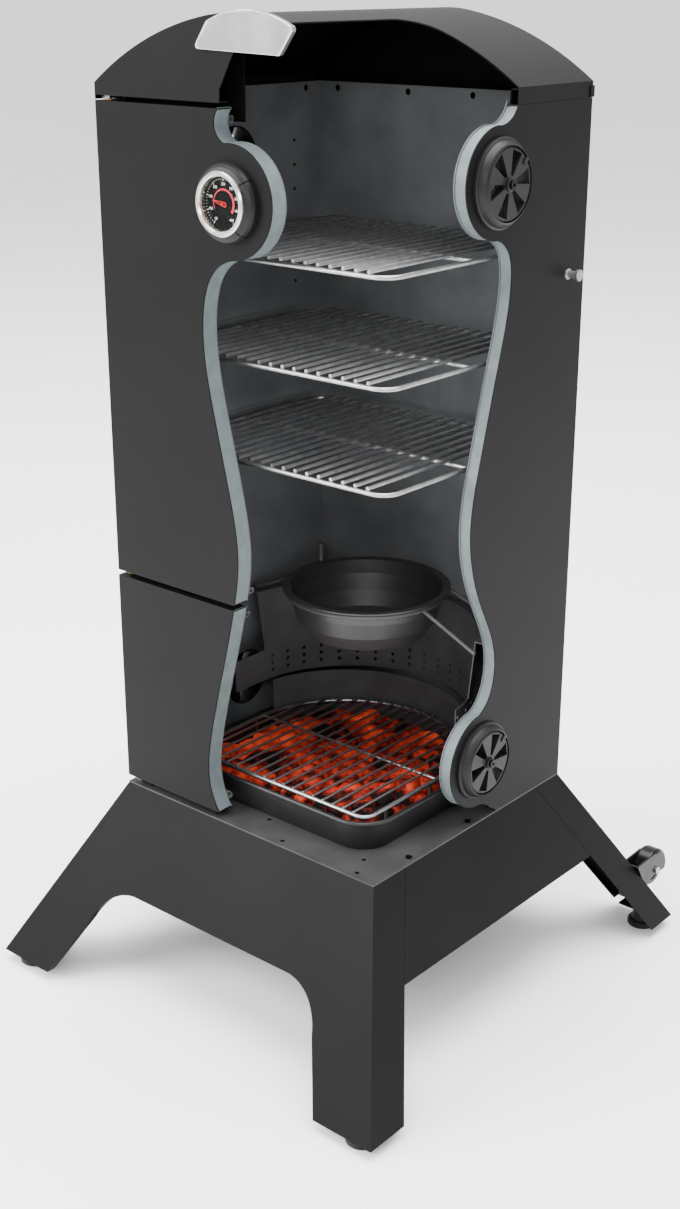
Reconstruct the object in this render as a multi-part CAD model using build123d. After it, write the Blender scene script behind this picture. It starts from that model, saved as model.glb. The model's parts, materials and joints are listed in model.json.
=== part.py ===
from build123d import *
import os
from math import cos, hypot, radians, sin, sqrt

# A vertical charcoal smoker on a flared four-leg base, cut open at its front
# right corner. Cabinet frame while modelling: x to the object's right, y to
# its back, z up from the top of the base plate, x and y centred on the
# cabinet. export_all moves everything so that the origin is the middle of the
# footprint, on the floor.

# ---- driving dimensions, millimetres ----
WIDTH = 430.0              # cabinet, outside of the side walls
DEPTH = 398.0              # door face to back wall
BASE_HEIGHT = 260.0        # floor to top of the base plate
SHEET = 1.5                # outer sheet metal
LINER = 1.2                # inner sheet metal
WALL = 18.0                # thickness of a double wall
DOOR = 24.0                # thickness of a double-skin door
DOOR_GAP = 5.0             # door back to carcass front
LEG_DROP = 245.0           # base plate to the bottom edge of the leg sheets
FLARE_X = 115.0            # how far the legs spread sideways
FLARE_Y = 142.0            # how far they spread to front and back

LOWER_DOOR = (9.5, 298.0)
UPPER_DOOR = (305.0, 888.0)
WALL_TOP = 889.0           # top of the carcass walls
ROOF_BOTTOM = 889.0        # lower edge of the side skirts
FASCIA_BOTTOM = 894.0      # lower edge of the front fascia
EAVE = 908.0               # where the skirt folds into the arch
ARCH_RADIUS = 437.0        # each side of the arch
ARCH_OFFSET = 40.0         # its centre lies this far past the middle
ARCH_TOP_HALF = 25.0       # half width of the softer crown

HALF_W = WIDTH / 2
HALF_D = DEPTH / 2
FRONT = -HALF_D            # face of the doors
BACK = HALF_D
DOOR_BACK = FRONT + DOOR
CARCASS_FRONT = DOOR_BACK + DOOR_GAP
LINER_X = HALF_W - WALL    # inside face of a side wall
LINER_Y = BACK - WALL      # inside face of the back wall

GAUGE_Z = 788.0            # thermometer axis, in the middle of the upper door
GAUGE_CUT_R = 64.5         # the door is cut this far from that axis
DAMPER_Y = 16.0
DAMPER_Z = {"upper": 806.0, "lower": 88.0}
DAMPER_CUT_R = 64.0
DAMPER_HOLE_R = 40.0       # hole through both skins
RACK_Z = (472.0, 595.0, 719.0)

NODES = {}


# ---- small builders ----
def box(x0, x1, y0, y1, z0, z1):
    """A block between two corners."""
    return Pos((x0 + x1) / 2, (y0 + y1) / 2, (z0 + z1) / 2) * Box(x1 - x0, y1 - y0, z1 - z0)


def rod(start, end, radius):
    """A round bar from one point to another."""
    a, b = Vector(*start), Vector(*end)
    plane = Plane(origin=a, z_dir=b - a)
    return extrude(plane * Circle(radius), amount=(b - a).length)


def tube(start, end, outer, inner):
    """A round bar with a bore right through it."""
    return rod(start, end, outer) - rod(start, end, inner)


def turned(points, origin, axis):
    """A body of revolution: points are (radius, height along the axis)."""
    outline = make_face(Polyline(*[(r, 0, h) for r, h in points], close=True))
    body = revolve(outline, Axis.Z)
    return Plane(origin=origin, z_dir=axis) * body


def prism_x(points, x0, x1):
    """Extrude a closed outline of (y, z) points between two x values."""
    face = make_face(Polyline(*[(x0, y, z) for y, z in points], close=True))
    return extrude(face, amount=x1 - x0, dir=(1, 0, 0))


def prism_y(points, y0, y1):
    """Extrude a closed outline of (x, z) points between two y values."""
    face = make_face(Polyline(*[(x, y0, z) for x, z in points], close=True))
    return extrude(face, amount=y1 - y0, dir=(0, 1, 0))


def wire_ring(width, depth, corner, centre, radius):
    """A round wire bent into a rounded rectangle, centre at (x, y, z)."""
    path = (Pos(*centre) * RectangleRounded(width, depth, corner)).wire()
    section = Plane(origin=path @ 0, z_dir=path % 0) * Circle(radius)
    return sweep(section, path=path)


def join(first, *others):
    """One solid from touching pieces."""
    return first.fuse(*others)


def put(name, *shapes):
    """Record a node: one solid, or a group of separate ones."""
    solids = []
    for shape in shapes:
        solids.extend(shape.solids())
    NODES[name] = solids


# ---- the cut outlines, seen square on ----
def swept_cut(edges, plane_points, direction, amount):
    """A block bounded by the wavy outline on one side, straight on the others."""
    closing = Polyline(*plane_points)
    face = make_face(Wire([*edges, *closing.edges()]))
    return extrude(face, amount=amount, dir=direction)


def door_cut():
    """Everything to the right of the cut through both doors."""
    y = FRONT - 5
    top = UPPER_DOOR[1] + 2
    high = (-8.0, GAUGE_Z + sqrt(GAUGE_CUT_R**2 - 64))
    low = (2.0, GAUGE_Z - sqrt(GAUGE_CUT_R**2 - 4))
    shoulder = ThreePointArc((-13, y, top), (-22, y, 870), (high[0], y, high[1]))
    collar = ThreePointArc((high[0], y, high[1]), (GAUGE_CUT_R, y, GAUGE_Z), (low[0], y, low[1]))
    wave = [low, (-30, 705), (-48, 645), (-35.5, 546), (-12, 447), (0, 360), (-9, 299),
            (-34, 199), (-56, 108), (-60, 50), (-42, 8)]
    curve = Spline(*[(x, y, z) for x, z in wave])
    straight = [(-42, y, 8), (HALF_W + 20, y, 8), (HALF_W + 20, y, top), (-13, y, top)]
    return swept_cut([shoulder, collar, curve], straight, (0, 1, 0), DOOR + 20)


def wall_cut():
    """Everything in front of the cut through the right wall."""
    x = HALF_W - WALL - 30
    top = WALL_TOP + 2
    r = DAMPER_CUT_R
    zu, zl = DAMPER_Z["upper"], DAMPER_Z["lower"]
    a = (DAMPER_Y - 6, zu + sqrt(r * r - 36))
    b = (DAMPER_Y, zu - r)
    c = (DAMPER_Y - 6, zl + sqrt(r * r - 36))
    d = (DAMPER_Y, zl - r)
    shoulder = ThreePointArc((x, 48, top), (x, 38, 877), (x, a[0], a[1]))
    collar = ThreePointArc((x, a[0], a[1]), (x, DAMPER_Y - r, zu), (x, b[0], b[1]))
    wave = [b, (38, 727), (45, 680), (29, 608), (-5, 484), (-20, 405), (2, 309), (40, 215), (24, 162), c]
    curve = Spline(*[(x, y, z) for y, z in wave])
    collar_2 = ThreePointArc((x, c[0], c[1]), (x, DAMPER_Y - r, zl), (x, d[0], d[1]))
    foot = ThreePointArc((x, d[0], d[1]), (x, 38, 14), (x, 54, 0))
    straight = [(x, 54, 0), (x, 54, -5), (x, FRONT - 20, -5), (x, FRONT - 20, top), (x, 48, top)]
    return swept_cut([shoulder, collar, curve, collar_2, foot], straight, (1, 0, 0), WALL + 60)


# ---- base ----
def frustum(inset):
    """The flared base as a solid, its faces moved in by inset."""
    top = Pos(0, 0, -2) * Rectangle(WIDTH - 2 * inset, DEPTH - 2 * inset)
    bottom = Pos(0, 0, -LEG_DROP) * Rectangle(WIDTH + 2 * FLARE_X - 2 * inset,
                                              DEPTH + 2 * FLARE_Y - 2 * inset)
    return loft([top, bottom])


def arch_face(inset, y):
    """The opening under a leg frame as a face in the XZ plane at y."""
    flat = 134 - inset             # half length of the straight top edge
    crown = -121 + inset           # height of that edge
    knee = (200 - inset, -168.0)   # where the bend ends on the leg
    foot = (241 - inset, -LEG_DROP - 1)
    mid = (177 - 0.8 * inset, -135.5 + 0.6 * inset)
    edges = [Line((-flat, y, crown), (flat, y, crown)),
             ThreePointArc((flat, y, crown), (mid[0], y, mid[1]), (knee[0], y, knee[1])),
             Line((knee[0], y, knee[1]), (foot[0], y, foot[1])),
             Line((foot[0], y, foot[1]), (-foot[0], y, foot[1])),
             Line((-foot[0], y, foot[1]), (-knee[0], y, knee[1])),
             ThreePointArc((-knee[0], y, knee[1]), (-mid[0], y, mid[1]), (-flat, y, crown))]
    return make_face(Wire(edges))


def leg_frame(side, flange):
    """One folded frame: a panel with an arch, two legs and side flanges."""
    slope = FLARE_Y / LEG_DROP
    shell = frustum(0) - frustum(2.0)
    reach = -HALF_D + flange
    zone = prism_x([(-400, -1), (reach, -1), (reach - slope * LEG_DROP, -LEG_DROP),
                    (-400, -LEG_DROP)], -400, 400)
    arch = extrude(arch_face(0, -400), amount=250, dir=(0, 1, 0))
    frame = (shell & zone) - arch
    # the edge of the arch is folded back
    lip_zone = prism_x([(-HALF_D + 1, 0), (-HALF_D + 13, 0), (-HALF_D + 13 - FLARE_Y, -LEG_DROP),
                        (-HALF_D + 1 - FLARE_Y, -LEG_DROP)], -400, 400)
    lip = extrude(arch_face(-2.0, -400), amount=300, dir=(0, 1, 0)) \
        - extrude(arch_face(0, -400), amount=300, dir=(0, 1, 0))
    lip = lip & lip_zone & frustum(1.0)
    frame = join(frame, lip)
    return frame if side < 0 else mirror(frame, Plane.XZ)


FRONT_FLANGE = 62.0
REAR_FLANGE = 54.0
FOOT_X = 296.0
FOOT_Y = 316.0
PANEL_DROP = 115.0
BRACKET_Z = -226.0


def side_panel(side):
    """A side panel of the base between the two leg frames, hemmed below."""
    slope = FLARE_Y / LEG_DROP
    shell = frustum(0) - frustum(2.0)
    front, rear = -HALF_D + FRONT_FLANGE + 0.8, HALF_D - REAR_FLANGE - 0.8
    grow = slope * PANEL_DROP
    zone = prism_x([(front, -1), (rear, -1), (rear + grow, -PANEL_DROP), (front - grow, -PANEL_DROP)],
                   0, 400)
    panel = shell & zone
    hem_zone = box(0, 400, front - grow + 1, rear + grow - 1, -PANEL_DROP, -PANEL_DROP + 2)
    hem = (frustum(1.0) - frustum(14.0)) & hem_zone
    # tabs behind the leg frames carry the bolts
    tabs = []
    for edge, way in ((front, -1), (rear, 1)):
        near, far = sorted((edge - way * 14, edge + way * 16))
        strip = prism_x([(near, -8), (far, -8), (far + way * slope * 100, -100),
                         (near + way * slope * 100, -100)], 0, 400)
        tabs.append((frustum(2.0) - frustum(4.0)) & strip)
    panel = join(panel, hem, *tabs)
    return panel if side > 0 else mirror(panel, Plane.YZ)


PLATE_HOLES = [(57, -188), (-57, -188), (180, -188), (-180, -188), (166, -158), (-166, -158),
               (6, -157), (-6, 120)]
PLATE_SCREWS = [(side * 205, y) for side in (-1, 1) for y in (-118, 5, 72, 150)]
FLANGE_START = 54.0        # the right wall's bottom flange is cut away in front of this


def base():
    put("base_front_frame", join(leg_frame(-1, FRONT_FLANGE), *foot_brackets(-1)))
    put("base_rear_frame", join(leg_frame(1, REAR_FLANGE), *foot_brackets(1)))
    put("base_side_panels", side_panel(-1), side_panel(1))
    plate = box(-HALF_W, HALF_W, -HALF_D, HALF_D, -2, 0)
    for x, y in PLATE_HOLES:
        plate -= Pos(x, y, -1) * Cylinder(3, 6)
    for x, y in PLATE_SCREWS:
        plate -= Pos(x, y, -1) * Cylinder(2.5, 6)
    put("base_top_plate", plate)
    screws = []
    for x, y in PLATE_SCREWS:
        seat = SHEET if x < 0 or y > FLANGE_START else 0
        head = Pos(x, y, seat) * (Cylinder(4, 2, align=(Align.CENTER, Align.CENTER, Align.MIN)))
        shank = Pos(x, y, -12) * (Cylinder(2.4, 12 + seat, align=(Align.CENTER, Align.CENTER, Align.MIN)))
        screws.append(join(head, shank))
    put("plate_screws", *screws)


def foot_brackets(side):
    """Plates welded across the leg bottoms, which the feet screw into."""
    y = side * FOOT_Y
    plates = []
    for sx in (-1, 1):
        x = sx * FOOT_X
        block = box(x - 24, x + 24, y - 26, y + 26, BRACKET_Z, BRACKET_Z + 3) & frustum(1.9)
        block -= Pos(x, y, BRACKET_Z) * Cylinder(5.2, 10)
        plates.append(block)
    return plates


def feet():
    for fb, sy in (("front", -1), ("rear", 1)):
        for lr, sx in (("left", -1), ("right", 1)):
            x, y = sx * FOOT_X, sy * FOOT_Y
            floor = -BASE_HEIGHT
            pad = turned([(0, 0), (18, 0), (20, 2), (20, 8), (18, 10), (15, 11), (12, 24), (8, 30), (4.9, 30),
                          (4.9, 46), (0, 46)], (x, y, floor), (0, 0, 1))
            put(f"foot_{fb}_{lr}", pad)


WHEEL = (282.0, 350.0, -188.0)     # centre of a transport wheel
WHEEL_R = 26.0
WHEEL_HALF = 9.0


def transport_wheels():
    """Two small hooded wheels behind the rear legs, used when the smoker is tipped back."""
    x, y, z = WHEEL
    slope = FLARE_Y / LEG_DROP
    face_y = HALF_D + slope * -z      # the leg's outer face at the wheel's height
    hood_r = WHEEL_R + 4.5
    cheek = WHEEL_HALF + 1.2
    brackets, axles = [], []
    for lr, sx in (("left", -1), ("right", 1)):
        cx = sx * x
        plate = prism_x([(face_y + slope * 22 + 0.05, z - 22), (face_y + slope * 22 + 3, z - 22),
                         (face_y - slope * 30 + 3, z + 30), (face_y - slope * 30 + 0.05, z + 30)],
                        cx - 17, cx + 17)
        hood = rod((cx - cheek - 3, y, z), (cx + cheek + 3, y, z), hood_r)
        hood = fillet(hood.edges().filter_by(GeomType.CIRCLE), 6)
        hood -= rod((cx - cheek, y, z), (cx + cheek, y, z), WHEEL_R + 2.0)
        hood &= box(cx - 40, cx + 40, y - 60, y + 60, z - 7, z + 60)
        arms = []
        for s in (-1, 1):
            a, b = sorted((cx + s * cheek, cx + s * (cheek + 2.9)))
            arms.append(prism_x([(face_y - slope * 26 + 1, z + 26), (y - 4, z + 28), (y - 4, z - 7),
                                 (face_y + slope * 14 + 1, z - 14)], a, b))
        bracket = join(plate, hood, *arms)
        brackets.append(bracket - rod((cx - 30, y, z), (cx + 30, y, z), 3.0))
        wheel = turned([(3.05, 0), (7, 0), (7, 2.5), (17, 2.5), (17, 0.6), (WHEEL_R - 3, 0.6), (WHEEL_R, 4),
                        (WHEEL_R, 14), (WHEEL_R - 3, 17.4), (17, 17.4), (17, 15.5), (7, 15.5), (7, 18),
                        (3.05, 18)], (cx - WHEEL_HALF, y, z), (1, 0, 0))
        put(f"wheel_{lr}", wheel)
        outside = cheek + 3.0
        axles.append(join(rod((cx - outside, y, z), (cx + outside, y, z), 3.0),
                          rod((cx - outside - 3, y, z), (cx - outside, y, z), 5.5),
                          rod((cx + outside, y, z), (cx + outside + 3, y, z), 5.0)))
    put("wheel_brackets", *brackets)
    put("wheel_axles", *axles)


# ---- carcass ----
def damper_bore(side, z, radius):
    """A round hole right through a side wall on a damper's axis."""
    return rod((side * (LINER_X - 8), DAMPER_Y, z), (side * (HALF_W + 8), DAMPER_Y, z), radius)


def carcass():
    cut = wall_cut()
    liners = {}
    y0, y1 = CARCASS_FRONT, BACK
    for lr, sx in (("left", -1), ("right", 1)):
        outer, inner = sx * HALF_W, sx * (HALF_W - SHEET)
        skin = box(min(outer, inner), max(outer, inner), y0, y1 - SHEET - 0.05, 0, WALL_TOP)
        edge0, edge1 = sorted((inner, sx * (LINER_X + LINER + 0.05)))
        returns = [box(edge0, edge1, y0, y0 + SHEET, 0, WALL_TOP),
                   box(edge0, edge1, y0, y1 - WALL, 0, SHEET),
                   box(edge0, edge1, y0, y1 - WALL, WALL_TOP - SHEET, WALL_TOP)]
        skin = join(skin, *returns)
        screw_holes = [Pos(x, y, 0) * Cylinder(2.5, 8) for x, y in PLATE_SCREWS]
        skin = skin.cut(*[damper_bore(sx, z, DAMPER_HOLE_R + 3) for z in DAMPER_Z.values()], *screw_holes)
        liner0, liner1 = sorted((sx * LINER_X, sx * (LINER_X + LINER)))
        liner = box(liner0, liner1, y0, LINER_Y - (0.05 if sx > 0 else 0), 0.05, WALL_TOP + 4)
        bores = [damper_bore(sx, z, DAMPER_HOLE_R + 0.3) for z in DAMPER_Z.values()]
        bores += [rod((sx * (LINER_X - 8), y, z), (sx * (LINER_X + 8), y, z), r) for y, z, r in WALL_HOLES]
        liner = liner.cut(*bores)
        if sx > 0:
            skin -= cut
            liner -= cut
            liner -= box(150, 260, -300, 48, WALL_TOP + 1, WALL_TOP + 10)
            skin -= rod((HALF_W - 8, PEG_Y, PEG_Z), (HALF_W + 8, PEG_Y, PEG_Z), 4.45)
        put(f"{lr}_outer_skin", skin)
        liners[lr] = liner
    back = box(-HALF_W, HALF_W, BACK - SHEET, BACK, 0, WALL_TOP)
    put("back_outer_skin", back)
    liner = box(-LINER_X - LINER, LINER_X + LINER, LINER_Y, LINER_Y + LINER, 0.05, WALL_TOP + 4)
    for x, z in ((-167, 885), (-49, 885), (53, 885), (167, 885)):
        liner -= rod((x, LINER_Y - 8, z), (x, LINER_Y + 8, z), 4.2)
    put("inner_liner", join(liners["left"], liner))
    put("right_liner", liners["right"])
    caps = [box(-LINER_X - LINER, LINER_X + LINER, LINER_Y + LINER + 0.05, BACK - SHEET - 0.05,
                WALL_TOP - 12, WALL_TOP - 10.5)]
    for sx in (-1, 1):
        start = CARCASS_FRONT + SHEET + 0.1 if sx < 0 else 52.0
        a, b = sorted((sx * (LINER_X + LINER + 1.1), sx * (HALF_W - SHEET - 0.4)))
        channel = box(a, b, start, LINER_Y - 2, WALL_TOP + 0.05, WALL_TOP + 17)
        channel = fillet(channel.edges().filter_by(Axis.Y).group_by(Axis.Z)[-1], 3.5)
        channel -= box(a + 1.5, b - 1.5, start - 5, LINER_Y + 5, WALL_TOP - 2, WALL_TOP + 15.5)
        caps.append(channel)
    put("roof_rails", *caps)


PEG_Y, PEG_Z = 163.0, 686.0
WALL_HOLES = [(153, 885, 4.2), (129, 820, 2.6), (129, 789, 2.6), (129, 758, 2.6), (129, 636, 2.6),
              (129, 560, 2.6), (129, 440, 2.6)]


# ---- roof ----
def arch_height(x):
    """Top of the roof sheet at a distance x from the middle."""
    base = EAVE - sqrt(ARCH_RADIUS**2 - (HALF_W + ARCH_OFFSET)**2)
    return base + sqrt(ARCH_RADIUS**2 - (abs(x) + ARCH_OFFSET)**2)


CROWN = arch_height(ARCH_TOP_HALF) + 1.7


def arch_block(inset, y0, y1, bottom):
    """The roof's outline as a solid block, its outline moved in by inset."""
    w = HALF_W - inset
    eave = EAVE - inset * 0.6
    mid_x = (w + ARCH_TOP_HALF) / 2
    soft = ARCH_TOP_HALF
    edges = [Line((-w, y0, bottom), (-w, y0, eave)),
             ThreePointArc((-w, y0, eave), (-mid_x, y0, arch_height(mid_x) - inset * 1.12),
                           (-soft, y0, arch_height(soft) - inset)),
             ThreePointArc((-soft, y0, arch_height(soft) - inset), (0, y0, CROWN - inset),
                           (soft, y0, arch_height(soft) - inset)),
             ThreePointArc((soft, y0, arch_height(soft) - inset),
                           (mid_x, y0, arch_height(mid_x) - inset * 1.12),
                           (w, y0, eave)),
             Line((w, y0, eave), (w, y0, bottom)),
             Line((w, y0, bottom), (-w, y0, bottom))]
    return extrude(make_face(Wire(edges)), amount=y1 - y0, dir=(0, 1, 0))


ROOF_CUT_X = 62.0          # the roof sheet is cut away to the right of this
ROOF_CUT_Y = 47.0          # and in front of this
HEADER_CUT = -5.0
HEADER_TOP = 951.0


def roof():
    t = SHEET
    sheet = arch_block(0, FRONT, BACK, ROOF_BOTTOM + 0.3)
    sheet -= arch_block(t, FRONT - 5, BACK + 5, ROOF_BOTTOM - 5)
    opening = box(ROOF_CUT_X, HALF_W + 10, FRONT - 10, ROOF_CUT_Y, ROOF_BOTTOM - 10, 1100)
    opening = fillet(opening.edges().filter_by(Axis.Z).group_by(Axis.X)[0].sort_by(Axis.Y)[-1], 42)
    put("roof_sheet", sheet - opening)

    fascia = arch_block(t + 0.05, FRONT, FRONT + t, FASCIA_BOTTOM)
    lip = box(-HALF_W + t + 0.05, HALF_W - t - 0.05, FRONT, FRONT + 14, FASCIA_BOTTOM, FASCIA_BOTTOM + t)
    fascia = join(fascia, lip)
    edge = [(-13, 880), (-12, 908), (12, 950), (40, 975), (58, 1010), (260, 1010), (260, 880)]
    put("roof_front_fascia", fascia - prism_y(edge, FRONT - 10, FRONT + 40))

    # the header closes the carcass above the door and ties it to the fascia
    y = DOOR_BACK + 2 * SEAL_R + 0.6
    header = box(-LINER_X + 0.1, HEADER_CUT, y, y + t, WALL_TOP - 17, HEADER_TOP)
    header &= arch_block(t + 0.1, FRONT, BACK, WALL_TOP - 30)
    top = box(-120, HEADER_CUT, FRONT + t + 0.05, y + t, HEADER_TOP - t, HEADER_TOP)
    put("front_header", join(header, top))

    # rear fascia, with a tab at each end that wraps round the corner
    rear = arch_block(t + 0.05, BACK - t, BACK, ROOF_BOTTOM + 0.3)
    tabs = []
    for sx in (-1, 1):
        a, b = sorted((sx * (HALF_W - 12), sx * (HALF_W + 1.6)))
        c, d = sorted((sx * (HALF_W + 0.05), sx * (HALF_W + 1.6)))
        tabs += [box(a, b, BACK, BACK + 1.6, 890, 903), box(c, d, BACK - 6, BACK + 1.6, 890, 903)]
    put("roof_back_fascia", join(rear, *tabs))

    bottom_left, bottom_right = (-45, 950), (83, 946)
    right, peak, left = (104, 974), (50, 991), (-24, 979)
    face = make_face(Wire([
        Line((bottom_left[0], FRONT - 5, bottom_left[1]), (bottom_right[0], FRONT - 5, bottom_right[1])),
        Line((bottom_right[0], FRONT - 5, bottom_right[1]), (right[0], FRONT - 5, right[1])),
        ThreePointArc((right[0], FRONT - 5, right[1]),
                      (peak[0], FRONT - 5, peak[1]),
                      (left[0], FRONT - 5, left[1])),
        Line((left[0], FRONT - 5, left[1]), (bottom_left[0], FRONT - 5, bottom_left[1]))]))
    badge = extrude(face, amount=4.95, dir=(0, 1, 0))
    badge = fillet(badge.edges().filter_by(Axis.Y), 4)
    put("badge_plate", badge)


# ---- doors ----
HINGE_X = -HALF_W + 8
HINGE_Y = DOOR_BACK - 8
BUSH_BORE = 4.6            # hole in the door pan for a hinge bush
GAUGE_HOLE_R = 6.2
SEAL_R = 4.2
SEAL_WALL = 1.3
SEAL_INSET = 13.0          # bulb seal centre from the door's edge


def door(z0, z1, cut):
    """One double-skin door cut open on its right: outer pan, inner skin and two bulb seals."""
    x0, x1 = -HALF_W, HALF_W
    rim = DOOR_BACK - LINER - 0.05
    pan = join(box(x0, x1, FRONT, FRONT + SHEET, z0, z1), box(x0, x0 + SHEET, FRONT, rim, z0, z1),
               box(x0, x1, FRONT, rim, z0, z0 + SHEET), box(x0, x1, FRONT, rim, z1 - SHEET, z1))
    pan -= rod((HINGE_X, HINGE_Y, z0 - 5), (HINGE_X, HINGE_Y, z1 + 5), BUSH_BORE)
    inner = box(x0 + 0.2, x1, DOOR_BACK - LINER, DOOR_BACK, z0 + 0.2, z1 - 0.2)
    seal_y = DOOR_BACK + SEAL_R + 0.05
    seals = []
    for z in (z0 + SEAL_INSET, z1 - SEAL_INSET):
        seal = tube((-LINER_X + 12, seal_y, z), (HALF_W, seal_y, z), SEAL_R, SEAL_R - SEAL_WALL)
        seals.append(seal - cut)
    return pan - cut, inner - cut, seals


def doors():
    cut = door_cut()
    hole = rod((0, FRONT - 5, GAUGE_Z), (0, DOOR_BACK + 5, GAUGE_Z), GAUGE_HOLE_R)
    for name, (z0, z1) in (("lower", LOWER_DOOR), ("upper", UPPER_DOOR)):
        pan, inner, seals = door(z0, z1, cut)
        if name == "upper":
            pan -= hole
            inner -= hole
        put(f"{name}_door_skin", pan)
        put(f"{name}_door_liner", inner)
        put(f"{name}_door_seals", *seals)
        bushes = []
        for z, way in ((z0, 1), (z1, -1)):
            bushes.append(turned([(3.05, -0.8), (6.5, -0.8), (6.5, -0.02),
                                  (4.55, -0.02), (4.55, 14), (3.05, 14)],
                                 (HINGE_X, HINGE_Y, z), (0, 0, way)))
        put(f"{name}_door_bushes", *bushes)
    hinges()


def hinges():
    """Plates with welded pins: on the base, between the doors and under the roof."""
    bottom = (0.05, 8.0)
    middle = (LOWER_DOOR[1] + 1.9, UPPER_DOOR[0] - 1.9)
    top = (WALL_TOP + 0.9, WALL_TOP + 3.9)
    plates = []
    for za, zb in (bottom, middle, top):
        plates.append(box(-HALF_W + 2, -HALF_W + 15, HINGE_Y - 7, CARCASS_FRONT - 0.05, za, zb))
    foot = box(-HALF_W + 2, -HALF_W + 15, CARCASS_FRONT - 1.3, CARCASS_FRONT - 0.05,
               middle[0] - 9, middle[1] + 9)

    def pin(z0, z1):
        return rod((HINGE_X, HINGE_Y, z0), (HINGE_X, HINGE_Y, z1), 3.0)

    put("hinge_plates", join(plates[0], pin(bottom[1], LOWER_DOOR[0] + 12)),
        join(plates[1], foot, pin(LOWER_DOOR[1] - 12, UPPER_DOOR[0] + 12)),
        join(plates[2], pin(UPPER_DOOR[1] - 12, top[0])))


# ---- thermometer ----
def thermometer():
    origin, way = (0, FRONT, GAUGE_Z), (0, -1, 0)
    housing = turned([(5.2, 0.05), (44.5, 0.05), (44.5, 6), (43, 10),
                      (39.5, 13), (36.2, 14), (36.2, 3), (5.2, 3)],
                     origin, way)
    put("thermometer_housing", housing)
    put("thermometer_bezel", turned([(29, 3.05), (36.1, 3.05), (36.1, 17), (34.5, 18.5),
                                     (31.5, 18.5), (30, 17), (29, 14)], origin, way))
    put("thermometer_dial", turned([(1.6, 8), (28.9, 8), (28.9, 9.2), (1.6, 9.2)], origin, way))
    put("thermometer_lens", turned([(0, 13.6), (28.9, 13.6), (28.9, 15), (0, 15)], origin, way))
    y = FRONT - 10.6
    pointer = prism_y([(-1.0, GAUGE_Z - 2.6), (5.2, GAUGE_Z - 4.0), (6.2, GAUGE_Z + 0.4),
                       (3.4, GAUGE_Z + 2.2), (-15.0, GAUGE_Z + 3.2), (-15.4, GAUGE_Z + 2.6)],
                      y - 0.8, y)
    hub = rod((0, y + 2.6, GAUGE_Z), (0, y - 2.0, GAUGE_Z), 1.4)
    cap = rod((0, y - 0.8, GAUGE_Z), (0, y - 2.0, GAUGE_Z), 2.6)
    put("thermometer_needle", join(pointer, hub, cap))
    stem = join(rod((0, FRONT - 7.9, GAUGE_Z), (0, FRONT - 3.05, GAUGE_Z), 9.0),
                rod((0, FRONT - 3.05, GAUGE_Z), (0, DOOR_BACK + 16, GAUGE_Z), 5.0),
                rod((0, DOOR_BACK + 16, GAUGE_Z), (0, DOOR_BACK + 62, GAUGE_Z), 3.0))
    put("thermometer_stem", stem)
    nut_seat = Plane(origin=(0, DOOR_BACK + 0.05, GAUGE_Z), z_dir=(0, 1, 0))
    hexagon = extrude(nut_seat * RegularPolygon(9, 6), amount=7)
    put("thermometer_nut", hexagon - rod((0, DOOR_BACK - 1, GAUGE_Z), (0, DOOR_BACK + 12, GAUGE_Z), 5.05))


# ---- air dampers ----
WINDOWS = 6
HOUSING_R = 51.5
ROTOR_R = 41.0


def wedge(start_r, end_r, half_inner, half_outer, height):
    """One wedge window as a block along z, pointing along +x."""
    points = [(start_r, -half_inner), (end_r, -half_outer), (end_r, half_outer), (start_r, half_inner)]
    return extrude(make_face(Polyline(*points, close=True)), amount=height)


def damper_solids():
    """Housing, rotor and bolt about the z axis, z away from the wall."""
    # wall flange, rounded shoulder, and a spigot that lines the hole through the wall
    housing = turned([(5, 0.05), (HOUSING_R, 0.05), (HOUSING_R, 3.5), (49.5, 5.2), (48.5, 5.2),
                      (47, 9), (44.5, 12.5), (42.4, 14), (42.4, 7.5), (5, 7.5)],
                     (0, 0, 0), (0, 0, 1))
    spigot = turned([(DAMPER_HOLE_R - 2, -WALL + 0.05), (DAMPER_HOLE_R, -WALL + 0.05), (DAMPER_HOLE_R, 1),
                     (DAMPER_HOLE_R - 2, 1)], (0, 0, 0), (0, 0, 1))
    housing = join(housing, spigot)
    rotor = turned([(3.2, 7.9), (ROTOR_R, 7.9), (ROTOR_R, 12.4), (ROTOR_R - 1.5, 13.4), (3.2, 13.4)],
                   (0, 0, 0), (0, 0, 1))
    boss = turned([(3.2, 13.0), (7.5, 13.0), (7.5, 15.5), (6.2, 16.5), (3.2, 16.5)], (0, 0, 0), (0, 0, 1))
    rotor = join(rotor, boss)
    for i in range(WINDOWS):
        turn = Rot(0, 0, i * 360 / WINDOWS + 10)
        housing -= turn * (Pos(0, 0, -1) * wedge(11, 37.5, 2.0, 8.2, 8.6))
        rotor -= turn * (Pos(0, 0, 6) * wedge(10, 37.5, 2.2, 9.2, 8))
    tab = turned([(ROTOR_R - 8, 13.3), (ROTOR_R + 0.6, 13.3), (ROTOR_R + 0.6, 15.2), (ROTOR_R - 8, 15.2)],
                 (0, 0, 0), (0, 0, 1))
    sector = Rot(0, 0, 40) * (Pos(0, 0, 12) * wedge(25, 60, 1.5, 3.5, 5))
    rotor = join(rotor, tab & sector)
    bolt = join(rod((0, 0, -3), (0, 0, 17.5), 3.0), rod((0, 0, 16.7), (0, 0, 19.5), 5.4))
    socket = extrude(Pos(0, 0, 18) * RegularPolygon(2.4, 6), amount=3)
    bolt -= socket
    nut = extrude(Pos(0, 0, -2.9) * RegularPolygon(5.2, 6), amount=2.9) - rod((0, 0, -4), (0, 0, 4), 3.02)
    return housing, rotor, join(bolt, nut)


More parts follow.
